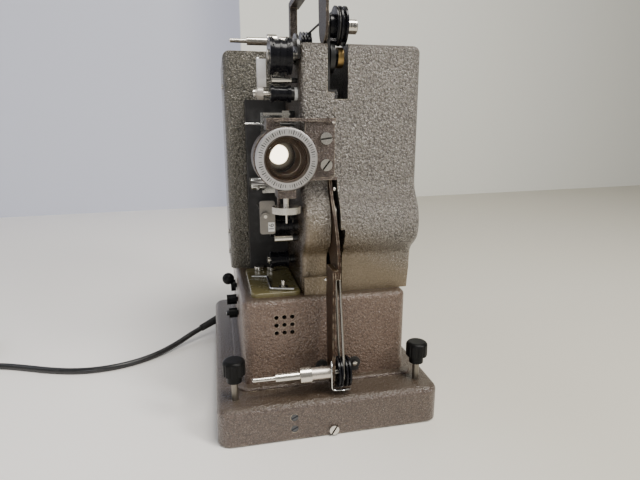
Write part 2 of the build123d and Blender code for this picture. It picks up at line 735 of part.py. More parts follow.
def make_roller(name, x0, x1, y, z, r):
    """A black guide roller that runs on a fixed stud."""
    with BuildPart() as roller:
        rod_x(x0, x1, y, z, r - 1)
        rod_x(x0, x0 + 2.5, y, z, r)
        rod_x(x1 - 2.5, x1, y, z, r)
        rod_x(x0 - 1, x1 + 1, y, z, 2 + fit, mode=Mode.SUBTRACT)
    save(roller.part, name)


def make_film_guides():
    """Fixed studs, guide pins and flanges on the operator side of the nose."""
    with BuildPart() as film_guides:
        for y, z, tip in ((-80, 287, -54), (-72.5, 174, -40.5), (-52, 137, -43)):
            rod_x(tip, nose_left + 3.5, y, z, 2)
            rod_x(tip - 1.6, tip, y, z, 3.2)
        rod_x(-23, nose_left, -80, 287, 4.8)
        rod_x(-22, nose_left, -72.5, 174, 4.6)
        rod_x(-40, nose_left, -73, 162.6, 3.4)
        rod_y(-83.5, -10, -48.5, 184.5, 1.5)
        rod_x(-23, nose_left, -52, 137, 4)
        rod_x(-22, nose_left + 3.5, -80, 297.8, 1.8)
        with BuildSketch(x_plane(-40, -80, 297.8)):
            Circle(3.2)
        extrude(amount=20, taper=3.4)
        with BuildSketch(x_plane(nose_left - 2, upper_y, upper_z)):
            Circle(17.5)
            Circle(5, mode=Mode.SUBTRACT)
            with Locations((0, -13)):
                Rectangle(40, 18, mode=Mode.SUBTRACT)
        extrude(amount=2)
        block(-30, nose_left, -66, -64, 268, 274)
        block(-47, -22, -72, -58, 270, 272)
    save(film_guides.part, "film_guides")


def make_keepers():
    """Hinged film keepers: a flat plate that holds the film on its sprocket or rollers."""
    with BuildPart() as upper_keeper:
        with BuildSketch(x_plane(-51.5, -76, 300)):
            with Locations((0, 2)):
                RectangleRounded(9, 27, 2)
        extrude(amount=1.4)
        block(-51.5, -44.6, -80.5, -79.2, 292, 314)
        rod_x(-52, -47.5, -80, 287, 5)
        rod_x(-53.8, -52, -80, 287, 3.4)
        rod_x(-59, -47, -80, 287, 2 + fit, mode=Mode.SUBTRACT)
    save(upper_keeper.part, "upper_keeper")

    with BuildPart() as lower_keeper:
        with BuildSketch(front_plane(-46.4, -78.2, 183)):
            RectangleRounded(13.2, 29.5, 2)
        extrude(amount=1.6)
        rod_y(-83, -79, -48.5, 184.5, 3.6)
        rod_y(-79, -73, -48.5, 184.5, 2.6)
        rod_y(-84, -72, -48.5, 184.5, 1.5 + fit, mode=Mode.SUBTRACT)
    save(lower_keeper.part, "lower_keeper")


# ---- reel arms ----
def make_belt(name, a, ra, b, rb, x):
    """A round spring belt round two grooves in the plane x; a and b are (y, z)."""
    dy = b[0] - a[0]
    dz = b[1] - a[1]
    long = hypot(dy, dz)
    heading = atan2(dz, dy)
    lean = atan2((ra - rb) / long, 1) if ra == rb else pi / 2 - atan2(
        sqrt(long ** 2 - (ra - rb) ** 2), ra - rb)
    up = heading + pi / 2 - lean
    down = heading - pi / 2 + lean

    def at(centre, r, angle):
        return (x, centre[0] + r * cos(angle), centre[1] + r * sin(angle))

    with BuildPart() as belt:
        with BuildLine():
            Line(at(a, ra, up), at(b, rb, up))
            ThreePointArc(at(b, rb, up), at(b, rb, heading), at(b, rb, down))
            Line(at(b, rb, down), at(a, ra, down))
            ThreePointArc(at(a, ra, down), at(a, ra, heading + pi), at(a, ra, up))
        with BuildSketch(Plane(origin=at(a, ra, up), z_dir=(0, cos(up - pi / 2), sin(up - pi / 2)))):
            Circle(belt_r)
        sweep()
    save(belt.part, name)


def make_feed_drive():
    feed_phase = degrees(atan2(upper_z - feed_z, upper_y - feed_y)) + 180 / feed_teeth
    with BuildPart() as upper_arm_bracket:
        with BuildSketch(x_plane(4.4, 0, 0)):
            with BuildLine():
                Polyline((-90, 289), (-91, 342), (-88, 350), (-76, 350), (-71, 342), (-70, 289),
                         close=True)
            make_face()
        extrude(amount=2.2)
        rod_x(4, 7, upper_y, upper_z, 4.2, mode=Mode.SUBTRACT)
        rod_x(2.5, 21.8, feed_y, feed_z, shaft_r)
        block(4.4, 12.3, -92, -60, 288, 290)
    save(upper_arm_bracket.part, "upper_arm_bracket")

    with BuildPart() as feed_pulley:
        gear_x(7.2, 11.2, feed_y, feed_z, feed_teeth, phase=feed_phase, bore=0)
        rod_x(11.2, 20.4, feed_y, feed_z, 11.5)
        for x0, x1 in ((11.2, 12.2), (14.8, 16.2), (18.8, 20.4)):
            rod_x(x0, x1, feed_y, feed_z, 15.3)
        rod_x(12.2, 14.8, feed_y, feed_z, feed_groove_r - belt_r - 0.1)
        rod_x(6, 21, feed_y, feed_z, shaft_r + fit, mode=Mode.SUBTRACT)
    save(feed_pulley.part, "feed_pulley")

    with BuildPart() as feed_knob:
        rod_x(20.4, 22, feed_y, feed_z, 5)
        rod_x(22, 30.5, feed_y, feed_z, 5.7)
        chamfer(feed_knob.faces().sort_by(Axis.X)[-1].edges(), 0.6)
        rod_x(20, 24, feed_y, feed_z, shaft_r + fit, mode=Mode.SUBTRACT)
    save(feed_knob.part, "feed_knob")


def make_spindle(name, y, z, tip, seat, collar, barrel_end, drive_end):
    """A reel spindle along X: slim tip, round seat, collar, then a journal to its pulley."""
    with BuildPart() as spindle:
        rod_x(tip, seat, y, z, 2.1)
        rod_x(seat, collar, y, z, 4)
        rod_x(collar, collar + 9.6, y, z, 7.5)
        rod_x(collar + 9.6, drive_end, y, z, 2.6)
        chamfer(spindle.faces().sort_by(Axis.X)[0].edges(), 1)
        rod_z(z - 6, z + 6, (seat + collar) / 2 - 3, y, 1, mode=Mode.SUBTRACT)
    save(spindle.part, name)


def make_upper_arm():
    pivot_r = 13.6
    arm_x = 1.8
    thick = 2.4
    front = feed_y - pivot_r
    with BuildPart() as upper_arm:
        with BuildSketch(x_plane(arm_x, 0, 0)):
            with Locations((feed_y, feed_z)):
                Circle(pivot_r)
            with BuildLine():
                Polyline((front, feed_z), (front, 371), (front + 6, 383), (front + 14, 389),
                         (upper_spindle_y - 12, 389), (upper_spindle_y - 5, 383),
                         (upper_spindle_y - 5, 380), (feed_y + 22, 380), (feed_y + 16, 374),
                         (feed_y + pivot_r, feed_z), close=True)
            make_face()
        extrude(amount=thick)
        block(-6, arm_x + thick, feed_y + 10, upper_spindle_y + 3, 380, 386)
        block(-6, 1.4, upper_spindle_y - 5, upper_spindle_y + 5, upper_spindle_z, 386)
        rod_x(-18, 0.6, upper_spindle_y, upper_spindle_z, 5.4)
        rod_x(-19, 5, upper_spindle_y, upper_spindle_z, 2.6 + fit, mode=Mode.SUBTRACT)
        rod_x(2.4, 5, feed_y, feed_z, shaft_r + fit, mode=Mode.SUBTRACT)
    save(upper_arm.part, "upper_arm")

    make_spindle("upper_spindle", upper_spindle_y, upper_spindle_z, -68.8, -51, -30, 0.6, 15.4)
    with BuildPart() as upper_spindle_pulley:
        rod_x(4.6, 15.4, upper_spindle_y, upper_spindle_z, 7.6)
        for x0, x1 in ((4.6, 5.6), (7.8, 9), (11, 12.2), (14.8, 15.8)):
            rod_x(x0, x1, upper_spindle_y, upper_spindle_z, 11)
        rod_x(3, 16, upper_spindle_y, upper_spindle_z, 2.6, mode=Mode.SUBTRACT)
    save(upper_spindle_pulley.part, "upper_spindle_pulley")
    make_belt("upper_belt", (feed_y, feed_z), feed_groove_r + 0.2,
              (upper_spindle_y, upper_spindle_z), spindle_groove_r + 0.2, feed_groove_x)


def make_lower_arm():
    """Painted take-up arm: its plate follows the bulge of the housings down to the spindle."""
    upper_x = 4.7
    lower_x = 0.2
    thick = 2.3
    with BuildPart() as lower_arm:
        with BuildSketch(x_plane(upper_x, 0, 0)):
            with BuildLine():
                front_top = (-97, 216)
                Polyline((-70, 212), (-72, 198), (-93, 160), (-108, 138), (-130, 138))
                Spline((-130, 138), (-128, 158), (-115, 186), (-103, 203), front_top)
                Line(front_top, (-70, 212))
            make_face()
        extrude(amount=thick)
        with BuildSketch(x_plane(lower_x, 0, 0)):
            with BuildLine():
                Polyline((-130, 146), (-109, 146), (-106, 120), (-112, 46), (-120, 40), (-128, 42),
                         (-131, 50), (-131, 138), close=True)
            make_face()
        extrude(amount=thick)
        block(lower_x, upper_x + thick, -130, -109, 138, 146)
        rod_x(-17, lower_x, lower_spindle_y, lower_spindle_z, 5.7)
        rod_x(-18, 5, lower_spindle_y, lower_spindle_z, 2.6 + fit, mode=Mode.SUBTRACT)
        rod_x(3, 8, takeup_y, takeup_z, shaft_r + fit, mode=Mode.SUBTRACT)
    save(lower_arm.part, "lower_arm")

    with BuildPart() as takeup_pulley:
        gear_x(7.3, 8.8, takeup_y, takeup_z, takeup_teeth,
               phase=degrees(atan2(lower_z - takeup_z, lower_y - takeup_y)) + 180 / takeup_teeth,
               bore=0)
        rod_x(8.8, 11.8, takeup_y, takeup_z, takeup_groove_r - belt_r - 0.1)
        rod_x(11.8, 12.4, takeup_y, takeup_z, 9.4)
        rod_x(7, 13, takeup_y, takeup_z, shaft_r + fit, mode=Mode.SUBTRACT)
    save(takeup_pulley.part, "takeup_pulley")

    make_spindle("lower_spindle", lower_spindle_y, lower_spindle_z, -67.8, -48, -27, 0.2, 16)
    with BuildPart() as lower_spindle_pulley:
        rod_x(5, 16, lower_spindle_y, lower_spindle_z, lower_groove_r - belt_r - 0.1)
        for x0, x1 in ((5, 6.6), (7.6, 8.8), (11.8, 13), (14.6, 16)):
            rod_x(x0, x1, lower_spindle_y, lower_spindle_z, lower_pulley_r)
        rod_x(4, 17, lower_spindle_y, lower_spindle_z, 2.6, mode=Mode.SUBTRACT)
    save(lower_spindle_pulley.part, "lower_spindle_pulley")
    make_belt("lower_belt", (takeup_y, takeup_z), takeup_groove_r + 0.2,
              (lower_spindle_y, lower_spindle_z), lower_groove_r + 0.2, takeup_belt_x)


def make_arm_rest_tabs():
    with BuildPart() as arm_rest_tabs:
        for x in (-3, 27.5):
            rod_y(plinth_front - 1.6, plinth_front - 0.01, x, 48.5, 5.8)
            block(x - 4, x + 4, plinth_front - 1.6, plinth_front - 0.01, 41, 48.5)
            rod_y(plinth_front - 3.4, plinth_front - 1, x, 48.5, 2)
    save(arm_rest_tabs.part, "arm_rest_tabs")


# ---- screws ----
def slotted_head(x, y, z, r, high, lean):
    """A slotted cheese head that faces the front, on a short shank."""
    rod_y(y - high, y, x, z, r)
    rod_y(y - 0.1, y + 5, x, z, 1.9)
    with BuildSketch(front_plane(x, y - high + 1.8, z)) as slot:
        Rectangle(2 * r + 2, 1.4, rotation=lean)
    extrude(slot.sketch, amount=3, mode=Mode.SUBTRACT)


def make_screws():
    with BuildPart() as screws:
        for z, lean in ((229.2, 52), (250.8, 8)):
            slotted_head(1.6, -98, z, 5, 3, lean)
        slotted_head(0.2, -base_d / 2, 5.8, 4.2, 2, 58)
        for z in (130, 152, 300):
            rod_x(lamp_left - 1.6, lamp_left, 20, z, 2.6)
        for x, y in ((-50, -19), (-38, -22)):
            rod_z(plinth_top + 4, plinth_top + 8, x, y, 5)
            block(x - 6, x + 6, y - 0.6, y + 0.6, plinth_top + 7, plinth_top + 9, mode=Mode.SUBTRACT)
        for z in (11, 21.5):
            rod_y(-base_d / 2 + 0.3, -base_d / 2 + 3, -34, z, 3.2)
            with BuildSketch(front_plane(-34, -base_d / 2 + 1.2, z)):
                Rectangle(8, 1.2, rotation=25)
            extrude(amount=3, mode=Mode.SUBTRACT)
    save(screws.part, "screws")


# ---- mains lead ----
def make_cord():
    z = cord_r
    exit_dir = Vector(-0.80, -0.56, -0.20).normalized()
    root = Vector(-base_w / 2 + 4, 104, 20)
    tip = root + exit_dir * 28
    points = [
        tuple(tip),
        tuple(tip + exit_dir * 14),
        (-143, 68, 6.5),
        (-163, 50, 3.6),
        (-186, 34, z),
        (-212, 25, z),
        (-242, 24, z),
        (-272, 32, z),
        (-302, 45, z),
        (-332, 57, z),
        (-364, 62.5, z),
        (coil_x, coil_y - coil_turn_r, z),
    ]
    runs = [(Vector(*b) - Vector(*a)).length for a, b in zip(points, points[1:])]
    radii = []
    for i in range(1, len(points) - 1):
        before = Vector(*points[i]) - Vector(*points[i - 1])
        after = Vector(*points[i + 1]) - Vector(*points[i])
        turn = radians(before.get_angle(after))
        radii.append(0.45 * min(runs[i - 1], runs[i]) / tan(turn / 2))
    print("cord radii", [round(r) for r in radii])
    with BuildPart() as mains_cord:
        with BuildLine() as route:
            FilletPolyline(*points, radius=radii)
        with BuildSketch(Plane(origin=points[0], z_dir=exit_dir)):
            Circle(cord_r)
        sweep()
    save(mains_cord.part, "mains_cord")
    long = sum(edge.length for edge in route.edges())
    fill = mains_cord.part.volume / (pi * cord_r ** 2 * long)
    print("cord route", round(long), "volume ratio", round(fill, 4))

    with BuildPart() as cord_gland:
        plane = Plane(origin=root, z_dir=exit_dir)
        with BuildSketch(plane):
            Circle(4.9)
        with BuildSketch(plane.offset(28)):
            Circle(cord_r + 0.9)
        loft()
        with BuildSketch(plane.offset(-5)):
            Circle(4.9)
        extrude(amount=5)
    save(cord_gland.part, "cord_gland")

    section_r = 10.4
    with BuildPart() as cord_coil:
        with BuildSketch(Plane(origin=(coil_x, coil_y, 0), x_dir=(1, 0, 0), z_dir=(0, -1, 0))):
            with Locations((coil_turn_r, 9.75)):
                RectangleRounded(2 * section_r, 19.5, 5)
        revolve(axis=Axis((coil_x, coil_y, 0), (0, 0, 1)))
    save(cord_coil.part, "cord_coil")

    with BuildPart() as plug:
        with BuildSketch(Plane(origin=(-432, 48, 7), x_dir=(0, 0, 1), z_dir=(-0.94, -0.34, 0))):
            RectangleRounded(13.6, 30, 5)
        extrude(amount=27)
        with BuildSketch(Plane(origin=(-410, 56, 7), x_dir=(0, 0, 1), z_dir=(-0.94, -0.34, 0))):
            Circle(4.4)
        extrude(amount=25)
        pins = Plane(origin=(-432 - 0.94 * 26, 48 - 0.34 * 26, 7), x_dir=(0, 0, 1),
                     z_dir=(-0.94, -0.34, 0))
        with BuildSketch(pins):
            with Locations((0, -9.5), (0, 9.5)):
                Circle(2)
        extrude(amount=20)
    save(plug.part, "plug")


make_base()
make_levelling("left", -level_x)
make_levelling("right", level_x)
make_plinth()
make_controls()
make_nose()
make_mechanism_frame()
make_motor_cover()
make_lamphouse()
make_lamp()
make_motor()
make_lens()
make_lens_bracket()
make_gate()
make_sprocket("upper_sprocket", upper_y, upper_z)
make_sprocket("lower_sprocket", lower_y, lower_z)
make_shafts()
make_roller("upper_guide_roller", -41.5, -24.5, -80, 287, 7)
make_roller("lower_guide_roller", -39, -24, -72.5, 174, 5.4)
make_roller("exit_roller", -42, -25, -52, 137, 8)
make_film_guides()
make_keepers()
make_feed_drive()
make_upper_arm()
make_lower_arm()
make_arm_rest_tabs()
make_screws()
make_cord()
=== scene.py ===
"""Looks, light and camera for the compact 16 mm film projector. Metres, in the CAD's own frame."""
from math import cos, pi, radians, sin

import bmesh
import bpy
from mathutils import Matrix, Vector


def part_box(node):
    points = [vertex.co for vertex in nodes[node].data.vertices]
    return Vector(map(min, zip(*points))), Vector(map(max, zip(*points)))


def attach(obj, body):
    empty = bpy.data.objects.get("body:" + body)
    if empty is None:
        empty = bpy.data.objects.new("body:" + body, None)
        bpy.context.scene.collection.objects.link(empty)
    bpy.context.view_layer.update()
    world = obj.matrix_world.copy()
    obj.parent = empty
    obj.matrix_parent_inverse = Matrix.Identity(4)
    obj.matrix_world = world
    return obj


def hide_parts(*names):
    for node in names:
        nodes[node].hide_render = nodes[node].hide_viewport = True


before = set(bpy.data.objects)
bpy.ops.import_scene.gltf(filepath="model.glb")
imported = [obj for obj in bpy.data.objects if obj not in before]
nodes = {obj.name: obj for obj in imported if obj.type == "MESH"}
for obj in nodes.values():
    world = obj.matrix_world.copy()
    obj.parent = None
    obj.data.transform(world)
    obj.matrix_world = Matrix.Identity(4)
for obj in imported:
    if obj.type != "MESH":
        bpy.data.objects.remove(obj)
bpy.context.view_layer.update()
MM = 0.001
TO_LEFT = (-1, 0, 0)
TO_RIGHT = (1, 0, 0)
TO_FRONT = (0, -1, 0)
TO_TOP = (0, 0, 1)

# ---- camera: low on the left, turned to the right ----
eye = bpy.data.objects.new("camera", bpy.data.cameras.new("camera"))
eye.location = (-0.0882, -0.4887, 0.2581)
eye.rotation_euler = (radians(76.88), radians(0.1), radians(-12.26))
eye.data.sensor_width = 36
eye.data.lens = 26.68
eye.data.clip_start = 0.01
bpy.context.scene.collection.objects.link(eye)
bpy.context.scene.camera = eye


# ---- node helpers ----
def new_material(name):
    """A new material, with its node tree and its Principled shader."""
    mat = bpy.data.materials.new(name)
    mat.use_nodes = True
    return mat, mat.node_tree, mat.node_tree.nodes["Principled BSDF"]


def reopened(mat):
    """The tree and the Principled shader of a material that gets more nodes."""
    return mat.node_tree, mat.node_tree.nodes["Principled BSDF"]


def feed(tree, node, inputs):
    """Give inputs of a node a plain value, or an output socket to link from."""
    for key, value in inputs.items():
        socket = node.inputs[key]
        if isinstance(value, bpy.types.NodeSocket):
            tree.links.new(value, socket)
        elif hasattr(socket.default_value, "__len__") and len(socket.default_value) == 4:
            socket.default_value = (*value[:3], 1)
        else:
            socket.default_value = value


def add(tree, kind, inputs=None, **settings):
    """Add a node with its settings and its inputs."""
    node = tree.nodes.new(kind)
    for key, value in settings.items():
        setattr(node, key, value)
    feed(tree, node, inputs or {})
    return node


def math_node(tree, operation, a, b=0.0):
    return add(tree, "ShaderNodeMath", {0: a, 1: b}, operation=operation).outputs[0]


def plus(tree, a, b):
    return math_node(tree, "ADD", a, b)


def minus(tree, a, b):
    return math_node(tree, "SUBTRACT", a, b)


def times(tree, a, b):
    return math_node(tree, "MULTIPLY", a, b)


def from_axis(tree, across, up):
    """How far a place is from an axis, from its two offsets."""
    return math_node(tree, "SQRT", plus(tree, times(tree, across, across), times(tree, up, up)))


def ramp(tree, value, low, high):
    """Smooth 0 to 1 as value goes from low to high."""
    return add(tree, "ShaderNodeMapRange", {"Value": value, "From Min": low, "From Max": high},
               interpolation_type="SMOOTHSTEP").outputs[0]


def spread(tree, value, low, high):
    """Straight low to high as value goes from 0 to 1."""
    return add(tree, "ShaderNodeMapRange", {"Value": value, "To Min": low, "To Max": high}).outputs[0]


def mix(tree, amount, a, b):
    """Colour a at amount 0, colour b at amount 1."""
    return add(tree, "ShaderNodeMix", {0: amount, 6: a, 7: b}, data_type="RGBA").outputs[2]


def noise(tree, place, size, detail=3.0, rough=0.55):
    """Noise whose features are about size metres across."""
    return add(tree, "ShaderNodeTexNoise", {"Vector": place, "Scale": 1 / size, "Detail": detail,
                                            "Roughness": rough}).outputs["Fac"]


def object_place(tree):
    return add(tree, "ShaderNodeTexCoord").outputs["Object"]


def object_axes(tree, place=None):
    """The X, Y and Z sockets of the object's own coordinates."""
    return add(tree, "ShaderNodeSeparateXYZ", {"Vector": place or object_place(tree)}).outputs


def bump(tree, shader, height, depth, strength=1.0):
    relief = add(tree, "ShaderNodeBump", {"Height": height, "Distance": depth, "Strength": strength})
    feed(tree, shader, {"Normal": relief.outputs[0], "Coat Normal": relief.outputs[0]})


def soften_bump(tree, amount):
    """Take amount off the strength of the material's bump."""
    relief = [node for node in tree.nodes if node.bl_idname == "ShaderNodeBump"][0]
    feed(tree, relief, {"Strength": minus(tree, 1.0, amount)})


def source(shader, key):
    """The socket that feeds one of the shader's inputs now."""
    return shader.inputs[key].links[0].from_socket


def paint_over(tree, shader, amount, colour):
    """Lay a colour over the shader's own colour."""
    feed(tree, shader, {"Base Color": mix(tree, amount, source(shader, "Base Color"), colour)})


def polish(tree, shader, amount):
    """Take amount off the shader's own roughness."""
    feed(tree, shader, {"Roughness": minus(tree, source(shader, "Roughness"), amount)})


def edge_wear(tree, place, radius=0.0012, reach=0.05, patch=0.006):
    """1 on rubbed edges, broken up by noise into patches."""
    round_normal = add(tree, "ShaderNodeBevel", {"Radius": radius}, samples=4).outputs[0]
    face_normal = add(tree, "ShaderNodeNewGeometry").outputs["Normal"]
    likeness = add(tree, "ShaderNodeVectorMath", {0: round_normal, 1: face_normal}, operation="DOT_PRODUCT")
    bent = minus(tree, 1.0, likeness.outputs["Value"])
    broken = ramp(tree, noise(tree, place, patch, 5), 0.42, 0.62)
    return times(tree, ramp(tree, bent, 0.015, reach), broken)


# ---- materials: an edge is a pair of places, where a change starts and where it is complete ----
HAMMER_CELL = 0.0020
# painted shade for the faces that look up
TOP_SHADE = (0.046, 0.029, 0.013)
RUBBED_PAINT = (0.36, 0.30, 0.22)
RUBBED_ENAMEL = (0.30, 0.24, 0.18)
TARNISH = (0.35, 0.31, 0.25)
# dark end of the upper keeper's painted reflection, at its hinge
KEEPER_HINGE_DARK = (0.34, 0.31, 0.27)
LOW_OLIVE = (0.165, 0.118, 0.060)
# painted shade on the housing's film side
SIDE_SHADE_BROWN = (0.034, 0.019, 0.008)
BORE_BROWN = (0.050, 0.028, 0.017)
# painted shade inside the housing's gear slot
SLOT_SHADE_BLACK = (0.008, 0.007, 0.006)
# painted shade in the screw slots
SCREW_SLOT_SHADE = (0.015, 0.012, 0.010)
SLEEVE_METAL = (0.66, 0.60, 0.54)
PLUG_BLACK = (0.012, 0.012, 0.012)
PLUG_BRASS = (0.72, 0.66, 0.50)
SCREW_PAINT = (0.060, 0.062, 0.066)


def hammer_cells(tree, place):
    """Distance from the middle of rounded cells whose borders wobble."""
    wobble = add(tree, "ShaderNodeTexNoise", {"Vector": place, "Scale": 0.9 / HAMMER_CELL, "Detail": 2.0})
    shift = add(tree, "ShaderNodeVectorMath", {0: wobble.outputs["Color"], 1: (HAMMER_CELL,) * 3},
                operation="MULTIPLY").outputs[0]
    bent = add(tree, "ShaderNodeVectorMath", {0: place, 1: shift}, operation="ADD").outputs[0]
    return add(tree, "ShaderNodeTexVoronoi", {"Vector": bent, "Scale": 1 / HAMMER_CELL, "Smoothness": 0.5},
               feature="SMOOTH_F1").outputs["Distance"]


def facing_up(tree):
    """1 on faces that look up, which get painted shade."""
    normal = add(tree, "ShaderNodeTexCoord").outputs["Normal"]
    return ramp(tree, add(tree, "ShaderNodeSeparateXYZ", {"Vector": normal}).outputs[2], 0.35, 0.95)


def hammertone(name, valley, hill, fleck, depth=0.00154, rough=0.30, flake=0.35):
    """Hammered stove enamel: small rounded cells, pale flecks, cloudy tone, rubbed edges, and painted shade
    on faces that look up.
    """
    mat, tree, shader = new_material(name)
    place = object_place(tree)
    cells = hammer_cells(tree, place)
    crinkle = noise(tree, place, HAMMER_CELL / 2, 3)
    bump(tree, shader, plus(tree, times(tree, cells, -0.9), times(tree, crinkle, 0.75)), depth)
    base = mix(tree, ramp(tree, cells, 0.15, 0.85), hill, valley)
    cloud = ramp(tree, noise(tree, place, 0.05, 4), 0.35, 0.7)
    base = mix(tree, times(tree, cloud, 0.25), base, valley)
    specks = ramp(tree, noise(tree, place, 0.0009, 2, 0.75), 0.565, 0.66)
    base = mix(tree, times(tree, specks, 0.68), base, fleck)
    # Painted shade: faces that look up are darkened, and made a little rougher.
    overlay_amount = times(tree, facing_up(tree), 0.7)
    base = mix(tree, overlay_amount, base, TOP_SHADE)
    dull = plus(tree, spread(tree, crinkle, rough - 0.10, rough + 0.14), times(tree, overlay_amount, 0.2))
    feed(tree, shader, {
        "Base Color": mix(tree, edge_wear(tree, place), base, RUBBED_PAINT),
        "Metallic": flake,
        "Roughness": dull,
        "Specular IOR Level": 0.6,
        "Coat Weight": 0.50,
        "Coat Roughness": 0.11,
    })
    return mat


def enamel(name, colour, rough, rubbed=RUBBED_ENAMEL):
    """Smooth enamel with faint orange peel, dust and worn edges."""
    mat, tree, shader = new_material(name)
    place = object_place(tree)
    bump(tree, shader, noise(tree, place, 0.0012, 2), 0.00003)
    dusty = [min(1, c * 0.7 + 0.10) for c in colour]
    dust = ramp(tree, noise(tree, place, 0.018, 5, 0.65), 0.45, 0.75)
    base = mix(tree, times(tree, dust, 0.30), colour, dusty)
    worn = edge_wear(tree, place, 0.0006, 0.08, 0.003)
    feed(tree, shader, {"Base Color": mix(tree, worn, base, rubbed),
                        "Roughness": spread(tree, dust, rough, rough + 0.2)})
    return mat


def metal(name, colour, rough, brushed=0.0, age=0.25):
    """Plated or turned metal, with light tarnish and, where brushed, fine turning marks."""
    mat, tree, shader = new_material(name)
    place = object_place(tree)
    spots = times(tree, ramp(tree, noise(tree, place, 0.0028, 6, 0.7), 0.5, 0.78), age)
    fine = noise(tree, place, 0.0007, 4, 0.6)
    feed(tree, shader, {"Metallic": 1, "Base Color": mix(tree, spots, colour, TARNISH),
                        "Roughness": spread(tree, fine, rough * 0.7, rough * 1.5 + 0.04)})
    if brushed:
        stretch = add(tree, "ShaderNodeMapping", {"Vector": place, "Scale": (1, 18, 18)}).outputs[0]
        bump(tree, shader, noise(tree, stretch, 0.004, 2), 0.00002, brushed)
    return mat


def moulding(name, colour, rough, coat=0.1, dust=0.12):
    """Polished black moulding with dust and a fine grain."""
    mat, tree, shader = new_material(name)
    place = object_place(tree)
    haze = ramp(tree, noise(tree, place, 0.006, 6, 0.7), 0.48, 0.75)
    grey = [c + 0.04 for c in colour]
    bump(tree, shader, noise(tree, place, 0.0009, 3), 0.00002)
    feed(tree, shader, {
        "Base Color": mix(tree, times(tree, haze, dust), colour, grey),
        "Roughness": spread(tree, haze, rough, rough + 0.25),
        "Specular IOR Level": 0.14,
        "Coat Weight": coat,
        "Coat Roughness": 0.12,
    })
    return mat


def rubber(name, colour, rough):
    """Black rubber, greyed and dulled in patches."""
    mat, tree, shader = new_material(name)
    place = object_place(tree)
    overlay_amount = ramp(tree, noise(tree, place, 0.009, 5, 0.65), 0.45, 0.8)
    grey = [c + 0.035 for c in colour]
    bump(tree, shader, noise(tree, place, 0.0006, 2), 0.00003)
    feed(tree, shader, {"Base Color": mix(tree, times(tree, overlay_amount, 0.5), colour, grey),
                        "Roughness": spread(tree, overlay_amount, rough - 0.1, rough + 0.2)})
    return mat


def coiled_wire(name, colour, metallic, pitch):
    """A belt of close-wound wire: fine ridges, one every pitch metres or so, with painted shade between them.
    """
    mat, tree, shader = new_material(name)
    ridges = add(tree, "ShaderNodeTexWave", {"Vector": object_place(tree), "Scale": 0.16 / pitch,
                                             "Distortion": 0.0},
                 wave_type="BANDS", bands_direction="DIAGONAL").outputs["Fac"]
    bump(tree, shader, ridges, 0.00012, 0.6)
    # Painted shade: the colour darkens between the ridges of the winding.
    shade = [c * 0.6 for c in colour]
    feed(tree, shader, {"Base Color": mix(tree, ridges, shade, colour), "Metallic": metallic,
                        "Roughness": 0.35})
    return mat


def clear_glass(name, tint, bend=1.45):
    """Clear glass with a few smears."""
    mat, tree, shader = new_material(name)
    smear = ramp(tree, noise(tree, object_place(tree), 0.008, 4), 0.4, 0.8)
    feed(tree, shader, {"Base Color": tint, "Roughness": spread(tree, smear, 0.02, 0.08),
                        "Transmission Weight": 1, "IOR": bend})
    return mat


def flat_paint(name, colour, rough=0.5):
    """Thin flat paint with a faint grain."""
    mat, tree, shader = new_material(name)
    light = [min(1, c * 1.25 + 0.01) for c in colour]
    feed(tree, shader, {"Base Color": mix(tree, noise(tree, object_place(tree), 0.001, 3), colour, light),
                        "Roughness": rough})
    return mat


def housing_finish():
    """Brown hammertone: glossy olive low down, painted shade on the film side, and painted shade making the
    inside of the gear slot black.
    """
    olive_edge = (0.205, 0.150)
    shaded_side_edge = (-0.0150, -0.0188)
    slot_floor_edge = (0.2826, 0.2832)
    slot_left_edge = (0.0096, 0.0100)
    slot_right_edge = (0.0214, 0.0211)
    mat = hammertone("hammertone_housing", valley=(0.062, 0.053, 0.045), hill=(0.188, 0.168, 0.143),
                     fleck=(0.62, 0.59, 0.55))
    tree, shader = reopened(mat)
    x, _, z = object_axes(tree)
    sloping_height = plus(tree, z, times(tree, x, 0.5))
    low = ramp(tree, sloping_height, *olive_edge)
    paint_over(tree, shader, times(tree, low, 0.75), LOW_OLIVE)
    # Painted shade: the film-side face is darkened to a deep brown.
    paint_over(tree, shader, times(tree, ramp(tree, x, *shaded_side_edge), 0.90), SIDE_SHADE_BROWN)
    # Painted shade: the inside of the gear slot is made near black.
    between_walls = times(tree, ramp(tree, x, *slot_right_edge), ramp(tree, x, *slot_left_edge))
    slot_shade = times(tree, ramp(tree, z, *slot_floor_edge), between_walls)
    paint_over(tree, shader, slot_shade, SLOT_SHADE_BLACK)
    polish(tree, shader, times(tree, low, 0.08))
    soften_bump(tree, times(tree, low, 0.6))
    return mat


def arm_finish(name, sleeve_end, valley, hill):
    """Dull arm enamel, with a bright bearing sleeve on the reel side of sleeve_end."""
    mat = hammertone(name, valley, hill, fleck=[c * 3 for c in hill], depth=0.000264, rough=0.40, flake=0.0)
    tree, shader = reopened(mat)
    bare = ramp(tree, object_axes(tree)[0], sleeve_end, sleeve_end - 0.0003)
    paint_over(tree, shader, bare, SLEEVE_METAL)
    polish(tree, shader, times(tree, bare, 0.12))
    soften_bump(tree, bare)
    feed(tree, shader, {"Coat Weight": 0.05, "Specular IOR Level": 0.2, "Metallic": bare})
    return mat


def half_black(mat, edge, colour):
    """Metal that turns to a black finish at an edge along X."""
    tree, shader = reopened(mat)
    dark = ramp(tree, object_axes(tree)[0], *edge)
    paint_over(tree, shader, dark, colour)
    feed(tree, shader, {"Metallic": minus(tree, 1.0, dark)})
    return mat


